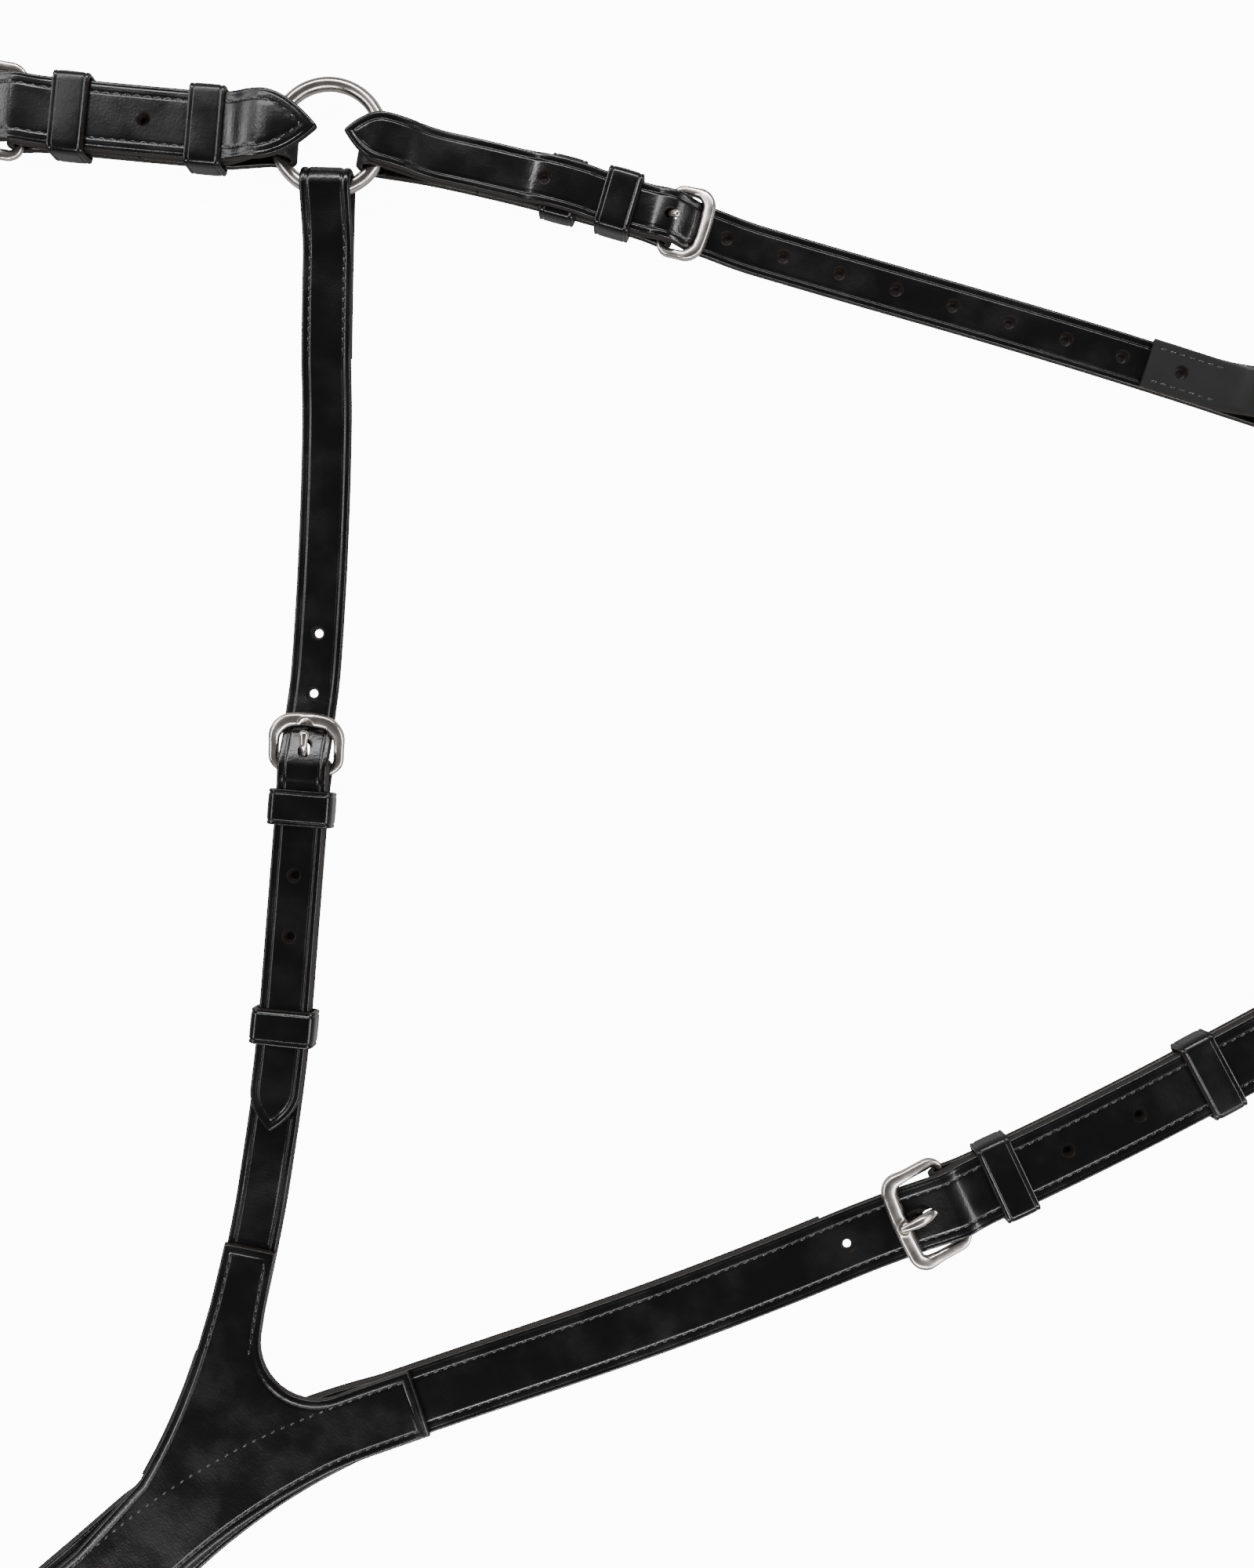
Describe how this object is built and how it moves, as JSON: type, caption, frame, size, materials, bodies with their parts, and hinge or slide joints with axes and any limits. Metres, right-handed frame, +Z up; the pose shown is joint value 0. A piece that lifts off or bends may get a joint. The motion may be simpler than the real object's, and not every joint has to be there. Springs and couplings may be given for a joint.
{
  "type": "horse breastplate",
  "caption": "Five-point leather breastplate for a riding horse, laid flat, with ring-joined straps that buckle at the withers, shoulders, saddle, girth and between the forelegs.",
  "frame": {"origin": "middle of the laid-out breastplate, on the ground under it", "axes": "+Z up from the ground, +Y towards the wither strap, +X towards the right-hand girth strap"},
  "size_m": [1.158, 1.0449, 0.0149],
  "materials": {
    "bridle_leather": "waxed, semi-gloss",
    "lining_leather": "waxed, semi-gloss",
    "keeper_leather": "waxed, semi-gloss",
    "ring_steel": "polished stainless",
    "buckle_steel": "satin stainless"
  },
  "bodies": {
    "harness": {"right_wither_chape": "bridle_leather", "left_wither_chape": "bridle_leather", "right_wither_buckle": "buckle_steel", "left_wither_buckle": "buckle_steel", "right_wither_keeper_fixed": "keeper_leather", "left_wither_keeper_fixed": "keeper_leather", "wither_strap": "bridle_leather", "right_shoulder_strap": "bridle_leather", "left_shoulder_strap": "bridle_leather", "right_shoulder_chape": "bridle_leather", "left_shoulder_chape": "bridle_leather", "right_shoulder_buckle": "buckle_steel", "left_shoulder_buckle": "buckle_steel", "right_shoulder_keeper_fixed": "keeper_leather", "left_shoulder_keeper_fixed": "keeper_leather", "right_chest_strap": "bridle_leather", "left_chest_strap": "bridle_leather", "right_chest_lining": "lining_leather", "left_chest_lining": "lining_leather", "right_chest_overlay": "bridle_leather", "left_chest_overlay": "bridle_leather", "right_girth_chape": "bridle_leather", "left_girth_chape": "bridle_leather", "right_girth_buckle": "buckle_steel", "left_girth_buckle": "buckle_steel", "right_girth_keeper_fixed": "keeper_leather", "left_girth_keeper_fixed": "keeper_leather"},
    "right_wither_ring": {"right_wither_ring": "ring_steel"},
    "right_saddle_strap": {"right_saddle_chape": "bridle_leather", "right_saddle_strap": "bridle_leather", "right_saddle_buckle": "buckle_steel", "right_saddle_keeper_fixed": "keeper_leather"},
    "right_wither_tongue": {"right_wither_tongue": "buckle_steel"},
    "right_wither_keeper_loose": {"right_wither_keeper_loose": "keeper_leather"},
    "right_saddle_tongue": {"right_saddle_tongue": "buckle_steel"},
    "right_saddle_keeper_loose": {"right_saddle_keeper_loose": "keeper_leather"},
    "right_shoulder_tongue": {"right_shoulder_tongue": "buckle_steel"},
    "right_shoulder_keeper_loose": {"right_shoulder_keeper_loose": "keeper_leather"},
    "right_girth_tongue": {"right_girth_tongue": "buckle_steel"},
    "right_girth_keeper_loose": {"right_girth_keeper_loose": "keeper_leather"},
    "left_wither_ring": {"left_wither_ring": "ring_steel"},
    "left_saddle_strap": {"left_saddle_chape": "bridle_leather", "left_saddle_strap": "bridle_leather", "left_saddle_buckle": "buckle_steel", "left_saddle_keeper_fixed": "keeper_leather"},
    "left_wither_tongue": {"left_wither_tongue": "buckle_steel"},
    "left_wither_keeper_loose": {"left_wither_keeper_loose": "keeper_leather"},
    "left_saddle_tongue": {"left_saddle_tongue": "buckle_steel"},
    "left_saddle_keeper_loose": {"left_saddle_keeper_loose": "keeper_leather"},
    "left_shoulder_tongue": {"left_shoulder_tongue": "buckle_steel"},
    "left_shoulder_keeper_loose": {"left_shoulder_keeper_loose": "keeper_leather"},
    "left_girth_tongue": {"left_girth_tongue": "buckle_steel"},
    "left_girth_keeper_loose": {"left_girth_keeper_loose": "keeper_leather"},
    "chest_ring": {"chest_ring": "ring_steel"},
    "legs_strap": {"legs_strap": "bridle_leather", "legs_chape": "bridle_leather", "legs_buckle": "buckle_steel", "legs_keeper_fixed": "keeper_leather"},
    "legs_tongue": {"legs_tongue": "buckle_steel"},
    "legs_keeper_loose": {"legs_keeper_loose": "keeper_leather"}
  },
  "joints": [
    {"name": "right_wither_ring_spin", "type": "hinge", "parent": "harness", "child": "right_wither_ring", "pos_m": [0.17284, 0.49781, 0.00623], "axis": [0, 0, 1], "continuous": true},
    {"name": "right_saddle_strap_fold", "type": "hinge", "parent": "harness", "child": "right_saddle_strap", "pos_m": [0.18864, 0.4953, 0.00623], "axis": [-0.1564, -0.9877, 0], "range_deg": [0, 45]},
    {"name": "right_wither_tongue_pivot", "type": "hinge", "parent": "harness", "child": "right_wither_tongue", "pos_m": [0.0742, 0.50623, 0.00424], "axis": [0.0805, 0.9968, 0], "range_deg": [0, 6]},
    {"name": "right_wither_keeper_slide", "type": "slide", "parent": "harness", "child": "right_wither_keeper_loose", "axis": [-0.9965, 0.0832, 0], "range_m": [0, 0.03]},
    {"name": "right_saddle_tongue_pivot", "type": "hinge", "parent": "right_saddle_strap", "child": "right_saddle_tongue", "pos_m": [0.28029, 0.47247, 0.00424], "axis": [-0.2875, -0.9578, 0], "range_deg": [0, 6]},
    {"name": "right_saddle_keeper_slide", "type": "slide", "parent": "right_saddle_strap", "child": "right_saddle_keeper_loose", "axis": [0.9593, -0.2825, 0], "range_m": [-0.002, 0.003]},
    {"name": "right_shoulder_tongue_pivot", "type": "hinge", "parent": "harness", "child": "right_shoulder_tongue", "pos_m": [0.16487, 0.29532, 0.00424], "axis": [0.9967, -0.0806, 0], "range_deg": [0, 6]},
    {"name": "right_shoulder_keeper_slide", "type": "slide", "parent": "harness", "child": "right_shoulder_keeper_loose", "axis": [-0.0982, -0.9952, 0], "range_m": [-0.04, 0.02]},
    {"name": "right_girth_tongue_pivot", "type": "hinge", "parent": "harness", "child": "right_girth_tongue", "pos_m": [0.37262, 0.15818, 0.00424], "axis": [-0.4116, 0.9114, 0], "range_deg": [0, 6]},
    {"name": "right_girth_keeper_slide", "type": "slide", "parent": "harness", "child": "right_girth_keeper_loose", "axis": [0.8821, 0.471, 0], "range_m": [-0.04, 0.03]},
    {"name": "left_wither_ring_spin", "type": "hinge", "parent": "harness", "child": "left_wither_ring", "pos_m": [-0.17284, 0.49781, 0.00623], "axis": [0, 0, 1], "continuous": true},
    {"name": "left_saddle_strap_fold", "type": "hinge", "parent": "harness", "child": "left_saddle_strap", "pos_m": [-0.18864, 0.4953, 0.00623], "axis": [-0.1564, 0.9877, 0], "range_deg": [0, 45]},
    {"name": "left_wither_tongue_pivot", "type": "hinge", "parent": "harness", "child": "left_wither_tongue", "pos_m": [-0.0742, 0.50623, 0.00424], "axis": [0.0805, -0.9968, 0], "range_deg": [0, 6]},
    {"name": "left_wither_keeper_slide", "type": "slide", "parent": "harness", "child": "left_wither_keeper_loose", "axis": [0.9965, 0.0832, 0], "range_m": [0, 0.03]},
    {"name": "left_saddle_tongue_pivot", "type": "hinge", "parent": "left_saddle_strap", "child": "left_saddle_tongue", "pos_m": [-0.28029, 0.47247, 0.00424], "axis": [-0.2875, 0.9578, 0], "range_deg": [0, 6]},
    {"name": "left_saddle_keeper_slide", "type": "slide", "parent": "left_saddle_strap", "child": "left_saddle_keeper_loose", "axis": [-0.9593, -0.2825, 0], "range_m": [-0.002, 0.003]},
    {"name": "left_shoulder_tongue_pivot", "type": "hinge", "parent": "harness", "child": "left_shoulder_tongue", "pos_m": [-0.16487, 0.29532, 0.00424], "axis": [0.9967, 0.0806, 0], "range_deg": [0, 6]},
    {"name": "left_shoulder_keeper_slide", "type": "slide", "parent": "harness", "child": "left_shoulder_keeper_loose", "axis": [0.0982, -0.9952, 0], "range_m": [-0.04, 0.02]},
    {"name": "left_girth_tongue_pivot", "type": "hinge", "parent": "harness", "child": "left_girth_tongue", "pos_m": [-0.37262, 0.15818, 0.00424], "axis": [-0.4116, -0.9114, 0], "range_deg": [0, 6]},
    {"name": "left_girth_keeper_slide", "type": "slide", "parent": "harness", "child": "left_girth_keeper_loose", "axis": [-0.8821, 0.471, 0], "range_m": [-0.04, 0.03]},
    {"name": "chest_ring_spin", "type": "hinge", "parent": "harness", "child": "chest_ring", "pos_m": [0, -0.04603, 0.00623], "axis": [0, 0, 1], "continuous": true},
    {"name": "legs_strap_fold", "type": "hinge", "parent": "harness", "child": "legs_strap", "pos_m": [0, -0.06189, 0.00623], "axis": [-1, 0, 0], "range_deg": [0, 80]},
    {"name": "legs_tongue_pivot", "type": "hinge", "parent": "legs_strap", "child": "legs_tongue", "pos_m": [0, -0.23603, 0.00424], "axis": [1, 0, 0], "range_deg": [0, 6]},
    {"name": "legs_keeper_slide", "type": "slide", "parent": "legs_strap", "child": "legs_keeper_loose", "axis": [0, -1, 0], "range_m": [-0.04, 0.03]}
  ]
}
